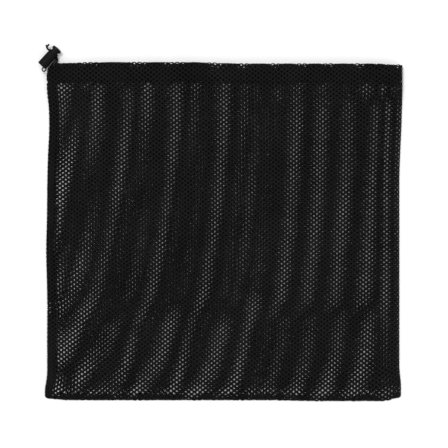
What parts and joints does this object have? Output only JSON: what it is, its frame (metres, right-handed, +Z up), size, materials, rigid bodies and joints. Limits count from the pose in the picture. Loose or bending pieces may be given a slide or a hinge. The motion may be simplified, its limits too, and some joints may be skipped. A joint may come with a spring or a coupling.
{
  "type": "mesh laundry bag",
  "caption": "Flat black net laundry bag with a drawstring channel round its mouth and a spring cord lock at one corner.",
  "frame": {"origin": "on the underside of the back wall, the face that the flat bag lies on, midway across the bag and midway from its bottom edge to its mouth", "axes": "+X across the bag, from the sewn side to the folded side; +Y along the bag, towards the mouth; +Z up from the back wall through the front wall"},
  "size_m": [0.469, 0.4628, 0.0159],
  "materials": {
    "net_cloth": "black polyester knitted net, satin filament yarn",
    "hem_cloth": "the same net, folded double",
    "seam_cloth": "the same net, in four layers, pressed flat",
    "sewing_thread": "black polyester thread",
    "braided_cord": "round braided black polyester cord",
    "lock_plastic": "satin moulded black acetal",
    "button_plastic": "smooth moulded black acetal",
    "spring_steel": "drawn spring wire"
  },
  "bodies": {
    "bag": {"back_wall": "net_cloth", "front_wall": "net_cloth", "back_hem": "hem_cloth", "front_hem": "hem_cloth", "side_seam": "seam_cloth", "bottom_seam": "seam_cloth", "side_seam_thread": "sewing_thread", "bottom_seam_thread": "sewing_thread", "front_hem_thread": "sewing_thread", "back_hem_thread": "sewing_thread", "drawstring": "braided_cord"},
    "cord_ends": {"drawstring_end_front": "braided_cord", "drawstring_end_back": "braided_cord"},
    "cord_lock": {"cord_lock_body": "lock_plastic", "cord_lock_spring": "spring_steel"},
    "plunger": {"cord_lock_plunger": "button_plastic"}
  },
  "joints": [
    {"name": "lock_swing", "type": "hinge", "parent": "bag", "child": "cord_ends", "pos_m": [-0.21849, 0.2206, 0], "axis": [0, 0, -1], "range_deg": [0, 45]},
    {"name": "lock_slide", "type": "slide", "parent": "cord_ends", "child": "cord_lock", "axis": [-0.7396, 0.673, 0], "range_m": [0, 0.003]},
    {"name": "plunger_press", "type": "slide", "parent": "cord_lock", "child": "plunger", "axis": [-0.673, -0.7396, 0], "range_m": [0, 0.0017], "stiffness_N_per_m": 1500, "springref_m": -0.002, "deforming": ["cord_lock_spring"]}
  ]
}
